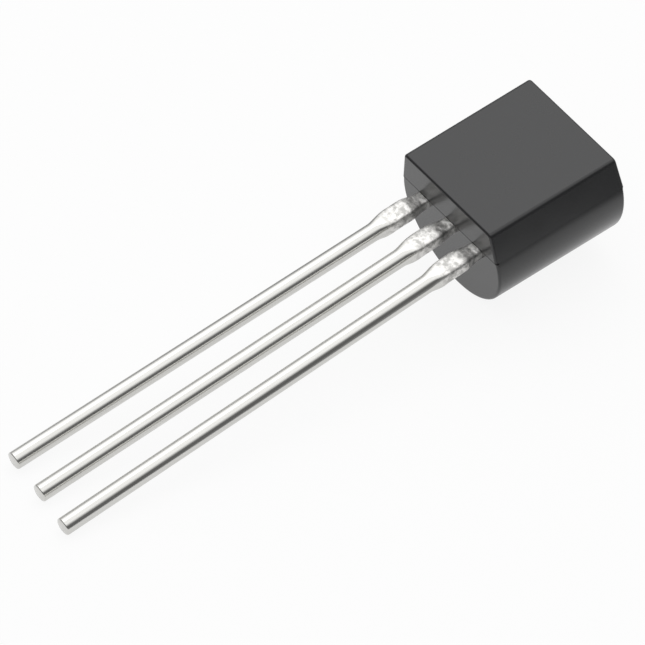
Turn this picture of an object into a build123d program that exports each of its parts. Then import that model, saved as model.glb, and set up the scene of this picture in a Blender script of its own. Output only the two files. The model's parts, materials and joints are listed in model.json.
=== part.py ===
"""Three-lead thyristor in a D-shaped moulded body, lying with its flat face up.

Millimetres, +Z up. The leads point toward -Y. The lowest points, the tip of the longest
lead and the rear edge of the body, touch the ground plane Z = 0.
"""

import os
from math import asin, atan2, cos, hypot, radians, sin, sqrt, tan

from build123d import *

os.makedirs("parts", exist_ok=True)

# ---- Moulded body: flat front face, round back ----
body_length = 4.60  # along the leads, at the parting plane
body_width = 4.62  # across the leads, at the widest
body_depth = 3.87  # from the flat face to the round back
parting_depth = 1.08  # from the flat face to the parting plane
parting_step = 0.02  # the front half stands this far proud of the back half
side_flare = radians(10.0)  # each side leans out from the flat face to the parting plane
lead_end_draft = radians(0.8)  # both ends lean inward from the parting plane
far_end_draft = radians(3.4)
face_edge_radius = 0.16  # along both sides of the flat face
end_edge_radius = 0.08  # round both ends of the body

# ---- Leads: round wire, flattened beside the body ----
lead_pitch = 1.27
lead_diameter = 0.55
cathode_lead_length = 14.52  # each lead, from the end of the body to its tip
gate_lead_length = 14.66
anode_lead_length = 14.87
lead_depth = 1.30  # from the flat face to the axis of each lead, at the body's end
lead_droop = radians(2.6)  # every lead leans this far toward the round back
cathode_splay = radians(-0.52)  # each lead leans sideways, toward the anode side
gate_splay = radians(0.2)
anode_splay = radians(0.86)
lead_tip_radius = 0.05
neck_width = 0.52
neck_thickness = 0.40
neck_length = 0.42  # ends here, measured from the end of the body
neck_embed = 0.35  # reaches this far into the body
band_width = 0.68  # the flattened band
band_thickness = 0.42
band_start = 0.56
band_end = 1.46
round_start = 1.70  # the wire is round from here to the tip
section_corner = 0.09  # of the neck and the flattened band

# ---- Lead frame inside the body ----
frame_thickness = 0.38
tail_width = 0.46  # of each strip, where it carries on from a neck
tail_start = 0.20
gate_post_width = 0.80
gate_post_start = 0.62
gate_post_end = 1.12
cathode_post_width = 0.80
cathode_post_start = 0.62
cathode_post_end = 2.20
frame_gap = 0.37  # between the paddle and each post beside it
paddle_beyond_chip = 0.70  # past the far edge of the chip
lock_hole_radius = 0.16  # through each post, so the moulding grips it

# ---- Chip, solder, metal pads and bond wires ----
chip_side = 1.10
chip_thickness = 0.25
chip_edge_margin = 0.30  # from the chip to the paddle's inner and near edges
solder_thickness = 0.03
solder_rim = 0.06  # the solder shows this far around the chip
pad_thickness = 0.01
cathode_pad_length = 0.84
cathode_pad_width = 0.56
gate_pad_side = 0.18
pad_margin = 0.10  # from a metal pad to the chip's edge
cathode_wire_diameter = 0.125
gate_wire_diameter = 0.05
cathode_loop_rise = 0.34  # of each wire, above the chip's metal pads
gate_loop_rise = 0.28
loop_end_share = 0.3  # of that rise, where the wire turns down to its post
loop_bend_radius = 0.14

# ---- Outline of the body across the leads ----
back_radius = body_width / 2
arc_centre_depth = body_depth - back_radius
side_x = sqrt(back_radius**2 - (arc_centre_depth - parting_depth) ** 2)
flat_width = 2 * (side_x - parting_depth * tan(side_flare))

# ---- Outline along the leads: how far each end leans in ----
lead_end_front = parting_depth * tan(lead_end_draft)
far_end_front = parting_depth * tan(far_end_draft)
lead_end_back = (body_depth - parting_depth) * tan(lead_end_draft)
far_end_back = (body_depth - parting_depth) * tan(far_end_draft)

# ---- Where the part rests: the body's rear edge and the tip of the longest lead ----
# Centre of the rounding on the rear edge, lead end, in the package's (y, z)
edge_z = -body_depth + end_edge_radius
edge_y = (-edge_z - parting_depth) * tan(lead_end_draft)
edge_y = edge_y + end_edge_radius / cos(lead_end_draft) + parting_step

# Centre of the rounding at the underside of that tip
longest = max(cathode_lead_length, gate_lead_length, anode_lead_length)
tip_reach = longest - lead_tip_radius
tip_half = lead_diameter / 2 - lead_tip_radius
tip_y = -tip_reach * cos(lead_droop) + tip_half * sin(lead_droop)
tip_z = -lead_depth - tip_reach * sin(lead_droop) - tip_half * cos(lead_droop)

# The tilt that puts both roundings on the ground
run = edge_y - tip_y
fall = tip_z - edge_z
radius_step = end_edge_radius - lead_tip_radius
rest_tilt = asin(radius_step / hypot(run, fall)) + atan2(fall, run)
rest_height = end_edge_radius - edge_y * sin(rest_tilt) - edge_z * cos(rest_tilt)

# Half way between the far end of the body and the tips, along Y
far_edge_y = body_length - parting_step - (-edge_z - parting_depth) * tan(far_end_draft)
far_edge_y = far_edge_y - end_edge_radius / cos(far_end_draft)
far_reach = far_edge_y * cos(rest_tilt) - edge_z * sin(rest_tilt) + end_edge_radius
top_tip_y = -tip_reach * cos(lead_droop) - tip_half * sin(lead_droop)
top_tip_z = -lead_depth - tip_reach * sin(lead_droop) + tip_half * cos(lead_droop)
near_reach = top_tip_y * cos(rest_tilt) - top_tip_z * sin(rest_tilt) - lead_tip_radius
centre_shift = -(far_reach + near_reach) / 2

# ---- Reference planes ----
# The flat face: x across, y away from the leads, z out of the face.
# Its origin lies above the middle of the lead-end parting edge.
flat_plane = Plane(
    origin=(0, centre_shift, rest_height),
    x_dir=(1, 0, 0),
    z_dir=(0, -sin(rest_tilt), cos(rest_tilt)),
)


def point(x, y, z):
    """A point given across, away from the leads and out of the flat face."""
    return flat_plane.from_local_coords(Vector(x, y, z))


# Across the leads at the body's end: normal toward the tips, y out of the flat face
end_plane = Plane(
    origin=point(0, 0, 0), x_dir=flat_plane.x_dir, z_dir=flat_plane.y_dir * -1
)
# Along the leads through the middle: x toward the far end, y out of the flat face
side_plane = Plane(
    origin=point(0, 0, 0), x_dir=flat_plane.y_dir, z_dir=flat_plane.x_dir
)
frame_top_plane = flat_plane.offset(-lead_depth + frame_thickness / 2)
chip_plane = frame_top_plane.offset(solder_thickness)
pad_plane = chip_plane.offset(chip_thickness)


def exit_plane(x, splay):
    """Square to one lead where it leaves the body: normal toward its tip."""
    across = sin(splay) * cos(lead_droop)
    along = -cos(splay) * cos(lead_droop)
    toward_tip = flat_plane.x_dir * across
    toward_tip = toward_tip + flat_plane.y_dir * along
    toward_tip = toward_tip - flat_plane.z_dir * sin(lead_droop)
    level = flat_plane.x_dir * cos(splay) + flat_plane.y_dir * sin(splay)
    return Plane(origin=point(x, 0, -lead_depth), x_dir=level, z_dir=toward_tip)


def outer_lead(x, splay, length):
    """The neck, the flattened band and the round wire of one lead."""
    start = exit_plane(x, splay)
    with BuildPart() as lead:
        with BuildSketch(start.offset(-neck_embed)):
            RectangleRounded(neck_width, neck_thickness, section_corner)
        extrude(amount=neck_embed + neck_length)
        with BuildSketch(start.offset(neck_length)):
            RectangleRounded(neck_width, neck_thickness, section_corner)
        with BuildSketch(start.offset(band_start)):
            RectangleRounded(band_width, band_thickness, section_corner)
        loft()
        with BuildSketch(start.offset(band_start)):
            RectangleRounded(band_width, band_thickness, section_corner)
        extrude(amount=band_end - band_start)
        with BuildSketch(start.offset(band_end)):
            RectangleRounded(band_width, band_thickness, section_corner)
        with BuildSketch(start.offset(round_start)):
            Circle(lead_diameter / 2)
        loft()
        with BuildSketch(start.offset(round_start)):
            Circle(lead_diameter / 2)
        extrude(amount=length - round_start)
        tip = lead.faces().sort_by(Axis(start.origin, start.z_dir))[-1]
        fillet(tip.edges(), lead_tip_radius)
    return lead.part


# ---- Cathode lead ----
cathode_x = -lead_pitch
with BuildPart() as cathode_lead:
    add(outer_lead(cathode_x, cathode_splay, cathode_lead_length))
    with BuildSketch(frame_top_plane):
        with Locations((cathode_x, (tail_start + cathode_post_start) / 2)):
            Rectangle(tail_width, cathode_post_start - tail_start)
        with Locations((cathode_x, (cathode_post_start + cathode_post_end) / 2)):
            Rectangle(cathode_post_width, cathode_post_end - cathode_post_start)
        with Locations((cathode_x, cathode_post_start + cathode_post_width / 2)):
            Circle(lock_hole_radius, mode=Mode.SUBTRACT)
    extrude(amount=-frame_thickness)
cathode_lead.part.label = "cathode_lead"

# ---- Gate lead ----
with BuildPart() as gate_lead:
    add(outer_lead(0, gate_splay, gate_lead_length))
    with BuildSketch(frame_top_plane):
        with Locations((0, (tail_start + gate_post_start) / 2)):
            Rectangle(tail_width, gate_post_start - tail_start)
        with Locations((0, (gate_post_start + gate_post_end) / 2)):
            Rectangle(gate_post_width, gate_post_end - gate_post_start)
    extrude(amount=-frame_thickness)
gate_lead.part.label = "gate_lead"

# ---- Anode lead, one piece with the paddle under the chip ----
anode_x = lead_pitch
paddle_outer_x = anode_x + tail_width / 2
paddle_inner_x = cathode_x + cathode_post_width / 2 + frame_gap
paddle_width = paddle_outer_x - paddle_inner_x
paddle_start = gate_post_end + frame_gap
paddle_end = paddle_start + chip_edge_margin + chip_side + paddle_beyond_chip
with BuildPart() as anode_lead:
    add(outer_lead(anode_x, anode_splay, anode_lead_length))
    with BuildSketch(frame_top_plane):
        with Locations((anode_x, (tail_start + paddle_start) / 2)):
            Rectangle(tail_width, paddle_start - tail_start)
        with Locations(
            ((paddle_outer_x + paddle_inner_x) / 2, (paddle_start + paddle_end) / 2)
        ):
            Rectangle(paddle_width, paddle_end - paddle_start)
        with Locations((anode_x, paddle_start + tail_width / 2)):
            Circle(lock_hole_radius, mode=Mode.SUBTRACT)
    extrude(amount=-frame_thickness)
anode_lead.part.label = "anode_lead"

# ---- Solder and chip on the paddle ----
chip_x = paddle_inner_x + chip_edge_margin + chip_side / 2
chip_y = paddle_start + chip_edge_margin + chip_side / 2
with BuildPart() as die_attach_solder:
    with BuildSketch(frame_top_plane):
        with Locations((chip_x, chip_y)):
            Rectangle(chip_side + 2 * solder_rim, chip_side + 2 * solder_rim)
    extrude(amount=solder_thickness)
die_attach_solder.part.label = "die_attach_solder"

with BuildPart() as thyristor_chip:
    with BuildSketch(chip_plane):
        with Locations((chip_x, chip_y)):
            Rectangle(chip_side, chip_side)
    extrude(amount=chip_thickness)
thyristor_chip.part.label = "thyristor_chip"

# ---- Metal pads on the chip ----
cathode_pad_x = chip_x
cathode_pad_y = chip_y + chip_side / 2 - pad_margin - cathode_pad_width / 2
with BuildPart() as cathode_pad:
    with BuildSketch(pad_plane):
        with Locations((cathode_pad_x, cathode_pad_y)):
            Rectangle(cathode_pad_length, cathode_pad_width)
    extrude(amount=pad_thickness)
cathode_pad.part.label = "cathode_pad"

gate_pad_x = chip_x - chip_side / 2 + pad_margin + gate_pad_side / 2
gate_pad_y = chip_y - chip_side / 2 + pad_margin + gate_pad_side / 2
with BuildPart() as gate_pad:
    with BuildSketch(pad_plane):
        with Locations((gate_pad_x, gate_pad_y)):
            Rectangle(gate_pad_side, gate_pad_side)
    extrude(amount=pad_thickness)
gate_pad.part.label = "gate_pad"


# ---- Bond wires, from each pad down to its post ----
def bond_wire(pad_x, pad_y, post_x, post_y, rise, diameter):
    """A looped wire, standing square on the pad and on the post."""
    post_z = -lead_depth + frame_thickness / 2
    pad_z = post_z + solder_thickness + chip_thickness + pad_thickness
    with BuildPart() as wire:
        with BuildLine() as path:
            FilletPolyline(
                point(pad_x, pad_y, pad_z),
                point(pad_x, pad_y, pad_z + rise),
                point(post_x, post_y, pad_z + loop_end_share * rise),
                point(post_x, post_y, post_z),
                radius=loop_bend_radius,
            )
        with BuildSketch(flat_plane.offset(pad_z)):
            with Locations((pad_x, pad_y)):
                Circle(diameter / 2)
        sweep(path=path.line)
    return wire.part


with BuildPart() as cathode_bond_wire:
    add(
        bond_wire(
            cathode_pad_x,
            cathode_pad_y,
            cathode_x,
            cathode_post_end - cathode_post_width / 2,
            cathode_loop_rise,
            cathode_wire_diameter,
        )
    )
cathode_bond_wire.part.label = "cathode_bond_wire"

with BuildPart() as gate_bond_wire:
    add(
        bond_wire(
            gate_pad_x,
            gate_pad_y,
            0,
            (gate_post_start + gate_post_end) / 2,
            gate_loop_rise,
            gate_wire_diameter,
        )
    )
gate_bond_wire.part.label = "gate_bond_wire"

# ---- Helper that picks out the body's edges ----
def off_parting_plane(edge):
    """True for an edge whose middle isn't on the parting plane."""
    middle = flat_plane.to_local_coords(edge.position_at(0.5))
    return abs(middle.Z + parting_depth) > 0.01


along_body = Axis(flat_plane.origin, flat_plane.y_dir)

# ---- Front half of the body, with the flat face ----
with BuildPart() as front_half:
    with BuildSketch(end_plane):
        with BuildLine():
            face = FilletPolyline(
                (-side_x - parting_step, -parting_depth),
                (-flat_width / 2, 0),
                (flat_width / 2, 0),
                (side_x + parting_step, -parting_depth),
                radius=face_edge_radius,
            )
            Line(face @ 1, face @ 0)
        make_face()
    extrude(amount=-body_length)
    with BuildSketch(side_plane):
        with BuildLine():
            Polyline(
                (0, -parting_depth),
                (lead_end_front, 0),
                (body_length - far_end_front, 0),
                (body_length, -parting_depth),
                close=True,
            )
        make_face()
    extrude(amount=body_width, both=True, mode=Mode.INTERSECT)
    end_rims = front_half.edges().filter_by(off_parting_plane)
    fillet(end_rims.filter_by(along_body, reverse=True), end_edge_radius)

# ---- Moulded body: the round back half, the front half, and room for what is inside ----
with BuildPart() as moulded_body:
    with BuildSketch(end_plane):
        with BuildLine():
            seam = Line((side_x, -parting_depth), (-side_x, -parting_depth))
            ThreePointArc(seam @ 1, (0, -body_depth), seam @ 0)
        make_face()
    extrude(amount=-body_length)
    with BuildSketch(side_plane):
        with BuildLine():
            Polyline(
                (parting_step, -parting_depth),
                (body_length - parting_step, -parting_depth),
                (body_length - parting_step - far_end_back, -body_depth),
                (parting_step + lead_end_back, -body_depth),
                close=True,
            )
        make_face()
    extrude(amount=body_width, both=True, mode=Mode.INTERSECT)
    end_arcs = moulded_body.edges().filter_by(off_parting_plane)
    fillet(end_arcs, end_edge_radius)
    add(front_half.part)
    add(cathode_lead.part, mode=Mode.SUBTRACT)
    add(gate_lead.part, mode=Mode.SUBTRACT)
    add(anode_lead.part, mode=Mode.SUBTRACT)
    add(die_attach_solder.part, mode=Mode.SUBTRACT)
    add(thyristor_chip.part, mode=Mode.SUBTRACT)
    add(cathode_pad.part, mode=Mode.SUBTRACT)
    add(gate_pad.part, mode=Mode.SUBTRACT)
    add(cathode_bond_wire.part, mode=Mode.SUBTRACT)
    add(gate_bond_wire.part, mode=Mode.SUBTRACT)
moulded_body.part.label = "moulded_body"

export_step(moulded_body.part, "parts/moulded_body.step")
export_step(cathode_lead.part, "parts/cathode_lead.step")
export_step(gate_lead.part, "parts/gate_lead.step")
export_step(anode_lead.part, "parts/anode_lead.step")
export_step(thyristor_chip.part, "parts/thyristor_chip.step")
export_step(die_attach_solder.part, "parts/die_attach_solder.step")
export_step(cathode_pad.part, "parts/cathode_pad.step")
export_step(gate_pad.part, "parts/gate_pad.step")
export_step(cathode_bond_wire.part, "parts/cathode_bond_wire.step")
export_step(gate_bond_wire.part, "parts/gate_bond_wire.step")
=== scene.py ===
# %% [markdown]
# # A three-lead thyristor
#
# This notebook dresses a small thyristor: a black moulded body, flat in front and round
# behind, on three tin-plated wire leads. The engineering model arrives as a fixed frame,
# and every finished piece is built round it in the same place and at the same size.

# %% Load the frame
import json
import math

import bmesh
import bpy
from mathutils import Matrix, Vector


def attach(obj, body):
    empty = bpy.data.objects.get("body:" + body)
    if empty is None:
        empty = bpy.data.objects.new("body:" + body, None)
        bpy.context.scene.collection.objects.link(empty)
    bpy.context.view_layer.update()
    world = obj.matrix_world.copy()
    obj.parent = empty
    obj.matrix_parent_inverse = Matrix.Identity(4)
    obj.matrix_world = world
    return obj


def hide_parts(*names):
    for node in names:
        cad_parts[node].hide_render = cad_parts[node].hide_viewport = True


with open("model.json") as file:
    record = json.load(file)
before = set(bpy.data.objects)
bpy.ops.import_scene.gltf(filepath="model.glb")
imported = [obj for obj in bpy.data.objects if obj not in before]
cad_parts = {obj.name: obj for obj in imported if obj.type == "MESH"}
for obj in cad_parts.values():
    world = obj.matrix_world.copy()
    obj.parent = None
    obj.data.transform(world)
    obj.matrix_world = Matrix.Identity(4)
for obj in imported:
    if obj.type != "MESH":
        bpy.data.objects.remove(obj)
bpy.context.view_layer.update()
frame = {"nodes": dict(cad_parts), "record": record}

MM = 0.001  # every size below is written in millimetres and turned into metres here
nodes = frame["nodes"]
print("nodes:", ", ".join(sorted(nodes)))

# %% [markdown]
# The part lies tilted, on the tips of its leads and the rear edge of its body. Working in
# tilted coordinates is awkward, so this cell makes a *package frame*: x runs across the
# leads, y away from them and z straight out of the flat face. Its origin lies in the plane
# of the flat face, over the lead end of the body. The frame's own mounts give it.

# %% Package frame
mounts = {mount["name"]: mount for mount in frame["record"]["mounts"]}
face_middle = Vector(mounts["flat_face"]["pos_m"])
out_of_face = Vector(mounts["flat_face"]["axis"]).normalized()
across = Vector((1, 0, 0))
away = out_of_face.cross(across).normalized()


def frame_at(origin, x_axis, y_axis, z_axis):
    """The matrix that carries points given along three axes to the row frame."""
    turn = Matrix((x_axis, y_axis, z_axis)).transposed().to_4x4()
    return Matrix.Translation(origin) @ turn


face_frame = frame_at(face_middle, across, away, out_of_face)
body_points = [face_frame.inverted() @ v.co for v in nodes["moulded_body"].data.vertices]
body_length = max(p.y for p in body_points) - min(p.y for p in body_points)
body_width = max(p.x for p in body_points) - min(p.x for p in body_points)
body_depth = -min(p.z for p in body_points)
package = face_frame @ Matrix.Translation((0, -body_length / 2, 0))
print("body (mm):", [round(s / MM, 2) for s in (body_length, body_width, body_depth)])

# %% [markdown]
# ## The moulded body
#
# The body is cast in a two-part mould, round the leads and the chip. Both mould halves
# taper away from the plane where they meet, so that the casting lets go, and the joint
# leaves a hairline round the body. A cylinder cut flat would miss all of that. Here each
# half is drawn as a D-shaped or straight-sided outline, pulled into a tapered prism, and
# rounded along chosen edges. A thin inset core joins the two, and what stays open between
# them is the hairline: deep at the ends, and almost closed along the sides.

# %% Sizes of the body
parting = 1.08 * MM  # from the flat face to the plane where the mould halves meet
parting_step = 0.02 * MM  # the front half's ends stand this far proud of the back half's
side_flare = math.radians(10.0)
lead_end_draft, far_end_draft = math.radians(0.8), math.radians(3.4)
face_edge_radius = 0.16 * MM  # along both sides of the flat face
end_edge_radius = 0.08 * MM  # round both ends of the body
back_radius = body_width / 2
arc_centre = body_depth - back_radius
side_x = math.sqrt(back_radius**2 - (arc_centre - parting) ** 2)
flat_half = side_x - parting * math.tan(side_flare)
hairline = 0.03 * MM  # width of the open seam
hairline_depth = 0.09 * MM  # at the ends of the body
side_hairline_depth = 0.001 * MM
lip_radius = 0.035 * MM  # on the back half's lips, beside the seam at both ends
seam_tolerance = 0.0001 * MM  # points closer than this to the seam count as on it
back_steps = 144  # segments round the back
edge_steps = 10  # segments round each long edge of the flat face
rounding_steps = 6
sharp_angle = math.radians(30)  # edges sharper than this are rims to be rounded
print("flat face (mm):", round(2 * flat_half / MM, 2), "seam at", round(parting / MM, 2))

# %% [markdown]
# Both halves are the same kind of solid, so one function draws them. *bmesh* is Blender's
# editable mesh: this one lays the outline down twice, leans each point in from its end by
# the draft, and skins the gap with faces. The helpers after it round chosen edges with the
# bevel operator, and turn a mesh into an object.


# %% A tapered prism
def tapered_prism(outline, inset):
    """A prism between the drafted ends; outline is a list of (x, z) in the package frame."""
    bm = bmesh.new()
    rings = []
    for end in (0, 1):
        ring = []
        for x, z in outline:
            draft = math.tan(far_end_draft if end else lead_end_draft)
            lean = abs(z + parting) * draft + inset
            y = body_length - lean if end else lean
            ring.append(bm.verts.new((x, y, z)))
        rings.append(ring)
    count = len(outline)
    for i in range(count):
        j = (i + 1) % count
        bm.faces.new((rings[0][i], rings[0][j], rings[1][j], rings[1][i]))
    bm.faces.new(rings[0])
    bm.faces.new(rings[1])
    bmesh.ops.recalc_face_normals(bm, faces=bm.faces)
    return bm


def round_edges(bm, edges, radius):
    """Rounds the edges with the bevel operator."""
    bmesh.ops.bevel(
        bm,
        geom=edges,
        offset=radius,
        segments=rounding_steps,
        profile=0.5,
        affect="EDGES",
        clamp_overlap=False,
    )


def put_in_scene(obj):
    bpy.context.scene.collection.objects.link(obj)
    return obj


def finish_mesh(bm, name):
    """Turns the working mesh into an object in the scene."""
    mesh = bpy.data.meshes.new(name)
    bm.to_mesh(mesh)
    bm.free()
    return put_in_scene(bpy.data.objects.new(name, mesh))


def settle(obj, name):
    """The object's modified shape as a plain mesh, in a new object of that name."""
    bpy.context.view_layer.update()
    graph = bpy.context.evaluated_depsgraph_get()
    mesh = bpy.data.meshes.new_from_object(obj.evaluated_get(graph))
    mesh.name = name
    bpy.data.objects.remove(obj)
    return put_in_scene(bpy.data.objects.new(name, mesh))


# %% [markdown]
# The front half carries the flat face. Its two long edges are rounded in the outline
# itself, with arcs that touch both sides, and the rims at the ends are bevelled afterwards.
# The edges along the seam stay sharp, because there the mould was only split.


# %% The front half
def rounded_corner(before, corner, after, radius):
    """Points round a corner of an outline, from one straight side to the next."""
    before, corner, after = Vector(before), Vector(corner), Vector(after)
    toward_before = (before - corner).normalized()
    toward_after = (after - corner).normalized()
    half_angle = toward_before.angle(toward_after) / 2
    reach = radius / math.sin(half_angle)
    centre = corner + (toward_before + toward_after).normalized() * reach
    first = (corner + toward_before * radius / math.tan(half_angle) - centre).normalized()
    last = (corner + toward_after * radius / math.tan(half_angle) - centre).normalized()
    return [centre + first.slerp(last, i / edge_steps) * radius for i in range(edge_steps + 1)]


left_foot, right_foot = (-side_x, -parting), (side_x, -parting)
left_top, right_top = (-flat_half, 0), (flat_half, 0)
front_outline = [left_foot]
front_outline += rounded_corner(left_foot, left_top, right_top, face_edge_radius)
front_outline += rounded_corner(left_top, right_top, right_foot, face_edge_radius)
front_outline.append(right_foot)


def off_seam(vertex, seam_depth):
    """Whether the point lies away from the plane of the seam."""
    return abs(vertex.co.z + seam_depth) > seam_tolerance


def end_rims(bm, seam_depth):
    """The edges round both ends, except those along the seam."""
    sharp = [e for e in bm.edges if e.calc_face_angle(0) > sharp_angle]
    return [e for e in sharp if any(off_seam(v, seam_depth) for v in e.verts)]


bm = tapered_prism(front_outline, 0.0)
round_edges(bm, end_rims(bm, parting), end_edge_radius)
front_half = finish_mesh(bm, "front_half")
print("front half vertices:", len(front_half.data.vertices))

# %% [markdown]
# The back half is round. Its outline starts a hairline's width below the front half, and
# its lip is rounded a little, so that the seam catches the light at the ends.

# %% The back half
back_top = parting + hairline
start = math.asin((arc_centre - back_top) / back_radius)
back_outline = []
for i in range(back_steps + 1):
    angle = start - (math.pi + 2 * start) * i / back_steps
    x = back_radius * math.cos(angle)
    z = back_radius * math.sin(angle) - arc_centre
    back_outline.append((x, z))
bm = tapered_prism(back_outline, parting_step)
round_edges(bm, end_rims(bm, back_top), end_edge_radius)
lips = []
for edge in bm.edges:
    one, other = edge.verts
    on_seam = not off_seam(one, back_top) and not off_seam(other, back_top)
    if on_seam and abs(one.co.y - other.co.y) < seam_tolerance:
        lips.append(edge)
round_edges(bm, lips, lip_radius)
back_half = finish_mesh(bm, "back_half")
print("back half vertices:", len(back_half.data.vertices))

# %% [markdown]
# The core is a thin slab that bridges the hairline. It follows the slope of both sides just
# below their surface. A slab with upright sides would stick out of the tapered halves.


# %% The core
def back_x(depth):
    """Half the width of the round back at that depth."""
    return math.sqrt(back_radius**2 - (arc_centre - depth) ** 2)


core_rise = 0.1 * MM  # the core reaches this far into each half
right_side = [
    (side_x - core_rise * math.tan(side_flare) - side_hairline_depth, core_rise - parting),
    (side_x - side_hairline_depth, -parting),
    (back_x(back_top) - side_hairline_depth, -back_top),
    (back_x(back_top + core_rise) - side_hairline_depth, -back_top - core_rise),
]
core_outline = right_side + [(-x, z) for x, z in reversed(right_side)]
core = finish_mesh(tapered_prism(core_outline, hairline_depth), "core")

# %% [markdown]
# Boolean modifiers unite the three solids. The exact solver is slower than the fast one,
# but it copes with faces that lie close together, as they do beside the seam.

# %% Join them into one casting
for other in (back_half, core):
    join = front_half.modifiers.new("join_" + other.name, "BOOLEAN")
    join.operation = "UNION"
    join.solver = "EXACT"
    join.object = other
casting = settle(front_half, "moulded_body_skin")
bpy.data.objects.remove(back_half)
bpy.data.objects.remove(core)
casting.data.transform(package)
print("casting faces:", len(casting.data.polygons))


# %% [markdown]
# Smooth shading alone would make the flat faces look pillowed, because each vertex mixes
# the normals of the faces round it. Weighted normals let the large faces win.

# %% Shade the casting
def shade(obj, crease=35):
    """Smooth shading, with creases sharper than the angle kept and large faces flat."""
    obj.data.shade_smooth()
    obj.data.set_sharp_from_angle(angle=math.radians(crease))
    weighted = obj.modifiers.new("weighted", "WEIGHTED_NORMAL")
    weighted.keep_sharp = True
    weighted.weight = 100
    return settle(obj, obj.name)


casting = shade(casting)
print("casting shaded:", len(casting.data.polygons), "faces")


# %% [markdown]
# ## The leads
#
# Each lead starts as round wire. Beside the body a press has flattened it into a short
# band, and a narrower neck carries on into the moulding. One rule describes all of it: a
# cross-section whose width, thickness and squareness change with the distance from the
# body. That is work for Geometry Nodes: a straight curve gives a unit tube, and Set
# Position moves every point of the tube to the rule's section. The rings crowd together at
# both ends, where the shape changes fastest.

# %% Sizes of the leads
lead_sizes = {
    "Length": 14.65 * MM,  # each lead gets its own
    "Diameter": 0.55 * MM,
    "Neck Width": 0.52 * MM,
    "Neck Thickness": 0.38 * MM,
    "Neck End": 0.12 * MM,
    "Band Width": 0.68 * MM,
    "Band Thickness": 0.46 * MM,
    "Band Drop": 0.04 * MM,
    "Band Start": 0.66 * MM,
    "Band End": 1.15 * MM,
    "Round Start": 1.85 * MM,
    "Press Edge Start": 1.15 * MM,
    "Press Edge End": 1.58 * MM,
    "Burr": 0.02 * MM,
    "Burr Length": 0.3 * MM,
    "Tip Radius": 0.05 * MM,
    "Embed": 0.08 * MM,
    "Squareness": 4.0,
}
lead_counts = {"Rings": 420, "Sides": 64}
ring_crowding = 0.8  # 0 spaces the rings evenly, 1 packs them fully into the ends


# %% [markdown]
# Writing node trees by hand takes a line for each node and a line for each link. This small
# class shortens that: a value passed in is a constant, and a socket passed in is a link.


# %% A short way to write node trees
class Tree:
    """Adds nodes to a tree: node returns the node, and the others one of its outputs."""

    def __init__(self, tree):
        self.tree = tree

    def node(self, kind, *inputs, **settings):
        made = self.tree.nodes.new(kind)
        for key, value in settings.items():
            setattr(made, key, value)
        for index, value in enumerate(inputs):
            self.feed(made.inputs[index], value)
        return made

    def feed(self, socket, value):
        if isinstance(value, bpy.types.NodeSocket):
            self.tree.links.new(value, socket)
        elif value is not None:
            socket.default_value = value

    def math(self, operation, *values):
        return self.node("ShaderNodeMath", *values, operation=operation).outputs[0]

    def step(self, value, low, high):
        """0 below low, 1 above high, and a smooth run between."""
        ends = (low, high, 0.0, 1.0)
        smooth = "SMOOTHSTEP"
        made = self.node("ShaderNodeMapRange", value, *ends, interpolation_type=smooth)
        return made.outputs[0]

    def mix(self, factor, first, second):
        """The first value at factor 0, the second at factor 1."""
        change = self.math("SUBTRACT", second, first)
        return self.math("MULTIPLY_ADD", factor, change, first)


# %% [markdown]
# Every size becomes an input of the node group, so whoever opens the file can reshape a
# lead from the modifier panel, without opening the tree.

# %% The lead's tree: inputs
lead_tree = bpy.data.node_groups.new("formed_lead", "GeometryNodeTree")
face = lead_tree.interface
face.new_socket("Geometry", in_out="OUTPUT", socket_type="NodeSocketGeometry")
for name, size in lead_sizes.items():
    socket = face.new_socket(name, in_out="INPUT", socket_type="NodeSocketFloat")
    socket.default_value = size
for name, count in lead_counts.items():
    socket = face.new_socket(name, in_out="INPUT", socket_type="NodeSocketInt")
    socket.default_value = count
face.new_socket("Material", in_out="INPUT", socket_type="NodeSocketMaterial")
t = Tree(lead_tree)
given = t.node("NodeGroupInput").outputs
print("inputs:", [socket.name for socket in given if socket.name])

# %% [markdown]
# The tube is one unit long and one unit in radius. A sine wave moves its rings toward both
# ends, and the result is stretched to the lead's real length.

# %% The lead's tree: a unit tube, and the distance of each point from the body
line = t.node("GeometryNodeCurvePrimitiveLine", None, (0, 0, 1))
rings = t.node("GeometryNodeResampleCurve")
t.feed(rings.inputs["Curve"], line.outputs[0])
t.feed(rings.inputs["Count"], given["Rings"])
circle = t.node("GeometryNodeCurvePrimitiveCircle")
t.feed(circle.inputs["Resolution"], given["Sides"])
t.feed(circle.inputs["Radius"], 1.0)
tube = t.node("GeometryNodeCurveToMesh")
t.feed(tube.inputs["Curve"], rings.outputs[0])
t.feed(tube.inputs["Profile Curve"], circle.outputs[0])
t.feed(tube.inputs["Fill Caps"], True)
place = t.node("ShaderNodeSeparateXYZ", t.node("GeometryNodeInputPosition").outputs[0])
unit_x, unit_y, unit_z = place.outputs
wave = t.math("SINE", t.math("MULTIPLY", unit_z, 2 * math.pi))
even = t.math("MULTIPLY_ADD", wave, -ring_crowding / (2 * math.pi), unit_z)
span = t.math("ADD", given["Length"], given["Embed"])
distance = t.math("SUBTRACT", t.math("MULTIPLY", even, span), given["Embed"])

# %% [markdown]
# Smooth steps along the distance say how far the neck has spread into the band, and how far
# the band has gone back to round wire. The press tool's edge comes first, and it leaves a
# low burr. At the tip the section pulls in along a quarter circle.

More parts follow.
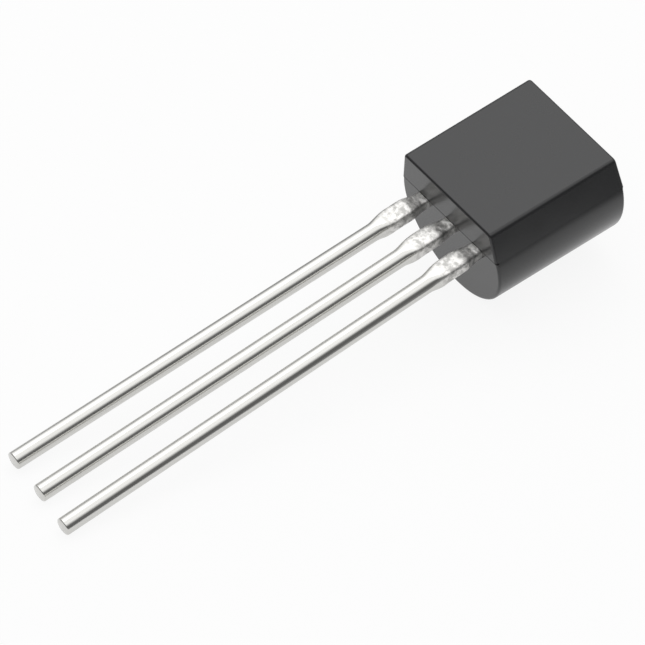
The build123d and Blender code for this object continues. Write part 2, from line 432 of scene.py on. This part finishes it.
# %% The lead's tree: the section's size and squareness at that distance
spread = t.step(distance, given["Neck End"], given["Band Start"])
taper = t.step(distance, given["Band End"], given["Round Start"])
pressed = t.step(distance, given["Press Edge Start"], given["Press Edge End"])
burr_end = t.math("ADD", given["Press Edge End"], given["Burr Length"])
burr_fade = t.math("SUBTRACT", 1.0, t.step(distance, given["Press Edge End"], burr_end))
burr = t.math("MULTIPLY", t.math("MULTIPLY", pressed, burr_fade), given["Burr"])
flat_width = t.mix(spread, given["Neck Width"], given["Band Width"])
flat_thickness = t.mix(spread, given["Neck Thickness"], given["Band Thickness"])
width = t.mix(taper, flat_width, given["Diameter"])
thickness = t.math("ADD", t.mix(pressed, flat_thickness, given["Diameter"]), burr)
drop = t.math("MULTIPLY", t.math("SUBTRACT", spread, pressed), given["Band Drop"])
power = t.mix(taper, given["Squareness"], 2.0)
tip_start = t.math("SUBTRACT", given["Length"], given["Tip Radius"])
into_tip = t.math("SUBTRACT", distance, tip_start)
share = t.math("DIVIDE", into_tip, given["Tip Radius"])
share = t.math("MINIMUM", t.math("MAXIMUM", share, 0.0), 1.0)
arc = t.math("SQRT", t.math("SUBTRACT", 1.0, t.math("MULTIPLY", share, share)))
pull_in = t.math("MULTIPLY", t.math("SUBTRACT", 1.0, arc), given["Tip Radius"])


# %% [markdown]
# A superellipse turns a circle into a rounded rectangle with a single number: at power 2 it
# is the circle, and at power 4 its sides are almost flat.


# %% The lead's tree: a superellipse section
def superellipse(unit, full_size):
    """One coordinate: the unit circle's, squared off by the power, at half the size."""
    bent = t.math("POWER", t.math("ABSOLUTE", unit), t.math("DIVIDE", 2.0, power))
    half = t.math("SUBTRACT", t.math("DIVIDE", full_size, 2.0), pull_in)
    return t.math("MULTIPLY", t.math("MULTIPLY", t.math("SIGN", unit), bent), half)


point = t.node(
    "ShaderNodeCombineXYZ",
    superellipse(unit_x, width),
    t.math("SUBTRACT", superellipse(unit_y, thickness), drop),
    distance,
)
moved = t.node("GeometryNodeSetPosition")
t.feed(moved.inputs["Geometry"], tube.outputs[0])
t.feed(moved.inputs["Position"], point.outputs[0])
real = t.node("GeometryNodeRealizeInstances", moved.outputs[0])
coated = t.node("GeometryNodeSetMaterial")
t.feed(coated.inputs["Geometry"], real.outputs[0])
t.feed(coated.inputs["Material"], given["Material"])
t.node("NodeGroupOutput", coated.outputs[0])
print("lead tree:", len(lead_tree.nodes), "nodes")


# %% [markdown]
# The tree draws a lead along its own z axis. To get a mesh from it, an empty object wears
# the tree as a modifier, and the modified shape is then settled into a plain mesh.

# %% Run the tree
def grow_lead(name, length, material):
    """One lead along +z from the origin, as a plain mesh object."""
    sizes = {**lead_sizes, "Length": length}
    holder = put_in_scene(bpy.data.objects.new(name, bpy.data.meshes.new(name)))
    modifier = holder.modifiers.new("formed_lead", "NODES")
    modifier.node_group = lead_tree
    for item in lead_tree.interface.items_tree:
        if item.in_out == "INPUT" and item.name in sizes:
            modifier[item.identifier] = sizes[item.name]
        elif item.in_out == "INPUT" and item.name in lead_counts:
            modifier[item.identifier] = lead_counts[item.name]
        elif item.in_out == "INPUT":
            modifier[item.identifier] = material
    return settle(holder, name)


# %% [markdown]
# Inside the moulding a lead ends in a post or a paddle. That part is already right in the
# engineering model, so a plane just inside the body cuts it from a copy, and a new face
# closes the cut.


# %% Cut the inner end from the engineering model
def inner_end(node, name):
    """The part of a CAD lead inside the body, as a closed mesh."""
    bm = bmesh.new()
    bm.from_mesh(nodes[node].data)
    bmesh.ops.remove_doubles(bm, verts=bm.verts, dist=0.0001 * MM)
    cut_point = package @ Vector((0, lead_sizes["Embed"] / 2, 0))
    everything = bm.verts[:] + bm.edges[:] + bm.faces[:]
    cut = bmesh.ops.bisect_plane(
        bm, geom=everything, plane_co=cut_point, plane_no=away, clear_inner=True
    )
    rim = [part for part in cut["geom_cut"] if isinstance(part, bmesh.types.BMEdge)]
    bmesh.ops.contextual_create(bm, geom=rim)
    bmesh.ops.recalc_face_normals(bm, faces=bm.faces)
    return finish_mesh(bm, name)


# %% [markdown]
# Each pin mount of the frame tells where one real lead lies. The tube is stood at the point
# where that lead leaves the body, at the length that the engineering model gives it.


# %% Stand each lead in its place
def join(objects, name):
    """Several objects as one."""
    chosen = {"active_object": objects[0], "selected_editable_objects": objects}
    with bpy.context.temp_override(**chosen):
        bpy.ops.object.join()
    objects[0].name = objects[0].data.name = name
    return objects[0]


def stand_lead(node, mount, material):
    """The finished lead for a CAD node, in its place on the part."""
    toward_tip = Vector(mounts[mount]["axis"]).normalized()
    middle = Vector(mounts[mount]["pos_m"])
    to_body = (package.inverted() @ middle).y / toward_tip.dot(away)
    leaves_body = middle - toward_tip * to_body
    level = out_of_face.cross(toward_tip).normalized() * -1
    upright = toward_tip.cross(level).normalized()
    points = [v.co - leaves_body for v in nodes[node].data.vertices]
    length = max(point.dot(toward_tip) for point in points)
    outer = grow_lead(node + "_outer", length, material)
    outer.data.transform(frame_at(leaves_body, level, upright, toward_tip))
    inner = inner_end(node, node + "_inner")
    inner.data.materials.clear()
    inner.data.materials.append(material)
    print(node, "reaches", round(length / MM, 2), "mm from the body")
    return shade(join([outer, inner], node + "_formed"), crease=40)


# %% [markdown]
# ## Finishes
#
# Every finish is a node material on Object coordinates. A piece's object sits at the
# origin unturned, so those coordinates are places on the real part, in metres, and the
# pattern keeps its true scale. The *package* mapping below turns them into the package
# frame, so that streaks can run along the leads.


# %% Helpers for materials
def new_finish(name):
    """A material with a Principled shader: (material, tree writer, shader)."""
    material = bpy.data.materials.new(name)
    material.use_nodes = True
    tree = Tree(material.node_tree)
    shader = material.node_tree.nodes["Principled BSDF"]
    return material, tree, shader


def place_on_part(tree, stretch=(1, 1, 1)):
    """Object coordinates in the package frame, in metres, stretched along its axes."""
    spot = tree.node("ShaderNodeTexCoord").outputs["Object"]
    turned = tree.node("ShaderNodeMapping")
    turned.inputs["Rotation"].default_value = package.inverted().to_euler()
    turned.inputs["Location"].default_value = package.inverted().to_translation()
    tree.feed(turned.inputs["Vector"], spot)
    turned = turned.outputs[0]
    scaled = tree.node("ShaderNodeVectorMath", turned, stretch, operation="MULTIPLY")
    return scaled.outputs[0]


def noise(tree, where, size, detail=4.0, roughness=0.55):
    """Cloudy noise with features of about that size, in metres."""
    made = tree.node("ShaderNodeTexNoise")
    tree.feed(made.inputs["Vector"], where)
    tree.feed(made.inputs["Scale"], 1 / size)
    tree.feed(made.inputs["Detail"], detail)
    tree.feed(made.inputs["Roughness"], roughness)
    return made.outputs[0]


def blend_range(tree, factor, low, high):
    """Turns a 0 to 1 value into a low to high one."""
    return tree.math("MULTIPLY_ADD", factor, high - low, low)


def blend_colour(tree, factor, first, second):
    """A mix of two colours, each given as (red, green, blue) or as a socket."""
    made = tree.node("ShaderNodeMix", data_type="RGBA")
    for name, value in (("Factor", factor), ("A", first), ("B", second)):
        tree.feed(made.inputs[name], (*value, 1) if isinstance(value, tuple) else value)
    return made.outputs["Result"]


def bump(tree, shader, height, depth, strength=1.0):
    """Raises the surface by height times depth, in metres."""
    made = tree.node("ShaderNodeBump")
    tree.feed(made.inputs["Height"], height)
    tree.feed(made.inputs["Distance"], depth)
    tree.feed(made.inputs["Strength"], strength)
    tree.feed(shader.inputs["Normal"], made.outputs[0])


# %% [markdown]
# The moulding compound is black epoxy filled with powdered glass. The mould's polished
# walls leave it glossy, and the filler leaves a faint cloudiness and a very fine grain.
# Where the mould halves met, a rough line darkened with painted shade runs across both ends,
# standing in for the shadow in the hairline.

# %% Moulding compound
cloud_size = 0.9 * MM
grain_size, grain_depth = 0.035 * MM, 0.0006 * MM
dark_epoxy, light_epoxy = (0.015, 0.0155, 0.0165), (0.020, 0.0205, 0.0215)
smoothest_epoxy, roughest_epoxy = 0.18, 0.26
# painted shade: a dark, rough line along the seam at both ends, for the shadow in the hairline
seam_shade_tone, seam_roughness = (0.003, 0.003, 0.003), 1.0
seam_shade_full, seam_shade_gone = 0.02 * MM, 0.045 * MM  # from the middle of the seam
end_margin, end_fade = 0.12 * MM, 0.1 * MM  # the painted seam shade shows only this near the ends

epoxy, t, shader = new_finish("black moulding compound")
spot = place_on_part(t)
cloud = noise(t, spot, cloud_size)
grain = noise(t, spot, grain_size, detail=2.0)
_, along, outward = t.node("ShaderNodeSeparateXYZ", spot).outputs
from_seam = t.math("ABSOLUTE", t.math("ADD", outward, parting + hairline / 2))
from_middle = t.math("ABSOLUTE", t.math("SUBTRACT", along, body_length / 2))
seam_line = t.math("SUBTRACT", 1.0, t.step(from_seam, seam_shade_full, seam_shade_gone))
half_length = body_length / 2
at_ends = t.step(from_middle, half_length - end_margin, half_length - end_fade)
seam_shade = t.math("MULTIPLY", seam_line, at_ends)
black = blend_colour(t, cloud, dark_epoxy, light_epoxy)
rough = blend_range(t, cloud, smoothest_epoxy, roughest_epoxy)
# the dark tone along the seam at the ends is painted shade for the hairline's shadow
t.feed(shader.inputs["Base Color"], blend_colour(t, seam_shade, black, seam_shade_tone))
t.feed(shader.inputs["Roughness"], t.mix(seam_shade, rough, seam_roughness))
shader.inputs["IOR"].default_value = 1.52
bump(t, shader, grain, grain_depth)
print("finish:", epoxy.name)

# %% [markdown]
# The leads are copper alloy under a few micrometres of tin. Drawing the wire leaves fine
# streaks along it, and the tin is satin, not mirror bright. On the bands the press tool has
# wiped the streaks out, and leaves small dents and a rougher, mottled surface.

# %% Tin plate
streak_size, streak_stretch = 0.09 * MM, 0.03  # a smaller stretch makes longer streaks
dent_size, dent_depth = 0.16 * MM, 0.02 * MM
wire_begins, band_begins = -1.7 * MM, -1.1 * MM  # along the leads, from the body
drawn_dark, drawn_light = (0.58, 0.575, 0.55), (0.69, 0.685, 0.665)
struck_dark, struck_light = (0.46, 0.455, 0.44), (0.80, 0.79, 0.77)
mottle_low, mottle_high = 0.36, 0.6
wire_roughness, band_adds = 0.18, 0.27

tin, t, shader = new_finish("satin tin plate")
spot = place_on_part(t)
long_spot = place_on_part(t, (1, streak_stretch, 1))
streaks = noise(t, long_spot, streak_size, detail=2.0)
dents = noise(t, spot, dent_size, detail=4.0, roughness=0.6)
along = t.node("ShaderNodeSeparateXYZ", spot).outputs[1]
on_band = t.step(along, wire_begins, band_begins)
mottle = t.step(dents, mottle_low, mottle_high)
drawn = blend_colour(t, streaks, drawn_dark, drawn_light)
struck = blend_colour(t, mottle, struck_dark, struck_light)
rough = t.math("MULTIPLY_ADD", on_band, band_adds, wire_roughness)
t.feed(shader.inputs["Base Color"], blend_colour(t, on_band, drawn, struck))
t.feed(shader.inputs["Roughness"], rough)
shader.inputs["Metallic"].default_value = 1.0
bump(t, shader, t.math("MULTIPLY", dents, on_band), dent_depth)
print("finish:", tin.name)

# %% [markdown]
# The pieces inside the moulding are out of sight, but whoever opens the model should find
# them finished too: polished silicon, dull solder, and aluminium pads and wires.


# %% Finishes inside the moulding
def inner_finish(name, dark, light, metallic, rough, feature):
    """A plain finish with soft patches of two tones."""
    material, tree, shader = new_finish(name)
    tone = noise(tree, place_on_part(tree), feature)
    tree.feed(shader.inputs["Base Color"], blend_colour(tree, tone, dark, light))
    tree.feed(shader.inputs["Roughness"], blend_range(tree, tone, *rough))
    shader.inputs["Metallic"].default_value = metallic
    bump(tree, shader, tone, 0.02 * feature)
    return material


silicon = inner_finish(
    "polished silicon", (0.10, 0.11, 0.14), (0.14, 0.15, 0.18), 0.4, (0.08, 0.14), 0.3 * MM
)
solder = inner_finish(
    "dull solder", (0.42, 0.42, 0.43), (0.55, 0.55, 0.55), 1.0, (0.4, 0.55), 0.08 * MM
)
aluminium = inner_finish(
    "bright aluminium", (0.80, 0.80, 0.81), (0.88, 0.88, 0.89), 1.0, (0.18, 0.3), 0.05 * MM
)
inside = {
    "thyristor_chip": silicon,
    "die_attach_solder": solder,
    "cathode_pad": aluminium,
    "gate_pad": aluminium,
    "cathode_bond_wire": aluminium,
    "gate_bond_wire": aluminium,
}
for node, material in inside.items():
    nodes[node].data.materials.clear()
    nodes[node].data.materials.append(material)
    print(node, "gets", material.name)

# %% [markdown]
# ## Put the pieces on the frame
#
# A piece that replaces a CAD node rides on the same body, and the node is hidden.


# %% Replace the outer pieces
def take_over(piece, node):
    """Puts a finished piece in the place of its CAD node."""
    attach(piece, "root")
    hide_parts(node)
    print(piece.name, "stands for", node, "with", len(piece.data.polygons), "faces")


casting.data.materials.clear()
casting.data.materials.append(epoxy)
take_over(casting, "moulded_body")
for kind in ("cathode", "gate", "anode"):
    lead = stand_lead(kind + "_lead", kind + "_pin", tin)
    take_over(lead, kind + "_lead")

# %% [markdown]
# ## Camera, floor and light
#
# A long lens far away keeps parallel edges almost parallel. The camera looks down at the
# corner between the lead end and one side, and its aim is measured from the middle of the
# flat face's edge at the lead end.

# %% Camera
azimuth, elevation, roll = math.radians(53.51), math.radians(45.38), math.radians(0.47)
frame_width = 18.44 * MM
aim_left, aim_below = 3.549 * MM, 3.643 * MM  # from the middle of that edge, in the view
lens, sensor = 800.0, 36.0
to_camera = Vector(
    (
        math.sin(azimuth) * math.cos(elevation),
        -math.cos(azimuth) * math.cos(elevation),
        math.sin(elevation),
    )
)
level = Vector((math.cos(azimuth), math.sin(azimuth), 0))
upward = to_camera.cross(level)
right = level * math.cos(roll) + upward * math.sin(roll)
above = upward * math.cos(roll) - level * math.sin(roll)
near_edge = package @ Vector((0, parting * math.tan(lead_end_draft), 0))
aim = near_edge - right * aim_left - above * aim_below
camera = put_in_scene(bpy.data.objects.new("camera", bpy.data.cameras.new("camera")))
camera.data.lens = lens
camera.data.sensor_width = sensor
camera.data.clip_start = 0.01
distance_away = frame_width * lens / sensor
camera.matrix_world = frame_at(aim + to_camera * distance_away, right, above, to_camera)
bpy.context.scene.camera = camera
print("camera (m):", [round(c, 4) for c in camera.location])


# %% [markdown]
# The floor is plain white, and the Light Path node lets it look different to different
# rays. The camera sees it lifted towards pure white, so the page stays clean while a soft
# shadow remains. Reflections see a painted pool of light round the part and a painted dim
# floor beyond, as under a small lamp in a dark room. Neither is real light. The dim part
# is a studio trick: it draws the dark stripes along the wires and the dark band along
# the body's side.

# %% Floor
floor_radius = 600 * MM
part_half_length = 9 * MM
pool_ends, dim_begins = 5.8 * MM, 8.0 * MM  # from the part's middle line
dim_level = 0.26
camera_lift, reflection_lift = 0.9, 0.75  # 0 is the real floor, 1 is pure white
bm = bmesh.new()
bmesh.ops.create_circle(bm, cap_ends=True, segments=96, radius=floor_radius)
floor = finish_mesh(bm, "floor")
paper = bpy.data.materials.new("white floor")
paper.use_nodes = True
t = Tree(paper.node_tree)
paper.node_tree.nodes.clear()
matt = t.node("ShaderNodeBsdfDiffuse", (0.86, 0.86, 0.86, 1)).outputs[0]
white = t.node("ShaderNodeEmission", (1, 1, 1, 1), 1.0).outputs[0]
dim = t.node("ShaderNodeEmission", (1, 1, 1, 1), dim_level).outputs[0]
light_path = t.node("ShaderNodeLightPath").outputs
spot = t.node("ShaderNodeTexCoord").outputs["Object"]
sideways, lengthways, _ = t.node("ShaderNodeSeparateXYZ", spot).outputs
beyond = t.math("SUBTRACT", t.math("ABSOLUTE", lengthways), part_half_length)
beyond = t.math("MAXIMUM", beyond, 0.0)
from_part = t.node("ShaderNodeCombineXYZ", sideways, beyond).outputs[0]
from_part = t.node("ShaderNodeVectorMath", from_part, operation="LENGTH").outputs["Value"]
# painted light for reflections: a bright pool round the part and a dim floor beyond it
outside_pool = t.step(from_part, pool_ends, dim_begins)
fading = t.math("MULTIPLY", outside_pool, light_path["Is Glossy Ray"])
bright = t.math("MULTIPLY", light_path["Is Glossy Ray"], reflection_lift)
lift = t.math("MULTIPLY_ADD", light_path["Is Camera Ray"], camera_lift, bright)
near = t.node("ShaderNodeMixShader", lift, matt, white).outputs[0]
surface = t.node("ShaderNodeMixShader", fading, near, dim).outputs[0]
t.node("ShaderNodeOutputMaterial", surface)
floor.data.materials.append(paper)

# %% [markdown]
# The world is a sky that is bright overhead and grey at the horizon, darker on the camera's
# side than behind the part. Only the camera sees it plain white. One large softbox above
# and behind the part, as the camera sees it, gives the flat face its tone.

# %% World and lamps
back_x_share, back_y_share = -0.8, 0.6  # the level direction away from the camera
front_turn, back_turn = -0.2, 0.6
front_horizon, back_horizon = 0.16, 0.55
sky_begins, sky_full = 0.5, 0.92  # heights in the sky: 0 is level, 1 is straight up
sky_overhead, page_white = 1.35, 1.0
lamp_distance = 150 * MM
toward_softbox = (-0.565, 0.258, 0.783)
softbox_side, softbox_radiance = 160 * MM, 0.65
world = bpy.data.worlds.new("studio")
bpy.context.scene.world = world
world.use_nodes = True
t = Tree(world.node_tree)
world.node_tree.nodes.clear()
view = t.node("ShaderNodeTexCoord").outputs["Generated"]
view_x, view_y, view_z = t.node("ShaderNodeSeparateXYZ", view).outputs
height = t.step(view_z, sky_begins, sky_full)
toward_back = t.math("MULTIPLY", view_x, back_x_share)
toward_back = t.math("MULTIPLY_ADD", view_y, back_y_share, toward_back)
behind = t.step(toward_back, front_turn, back_turn)
horizon = t.mix(behind, front_horizon, back_horizon)
sky = t.mix(height, horizon, sky_overhead)
seen = t.node("ShaderNodeLightPath").outputs["Is Camera Ray"]
strength = t.mix(seen, sky, page_white)
glow = t.node("ShaderNodeBackground", (1, 1, 1, 1), strength)
t.node("ShaderNodeOutputWorld", glow.outputs[0])


def softbox(name, toward, size, radiance):
    """A square lamp away from the part in a direction, shining back at it."""
    lamp = bpy.data.lights.new(name, "AREA")
    lamp.shape = "SQUARE"
    lamp.size = size
    lamp.energy = radiance * math.pi * size * size
    holder = put_in_scene(bpy.data.objects.new(name, lamp))
    toward = Vector(toward).normalized()
    holder.location = face_middle + toward * lamp_distance
    holder.rotation_euler = toward.to_track_quat("Z", "Y").to_euler()


softbox("overhead softbox", toward_softbox, softbox_side, softbox_radiance)
bpy.context.scene.view_settings.view_transform = "Standard"
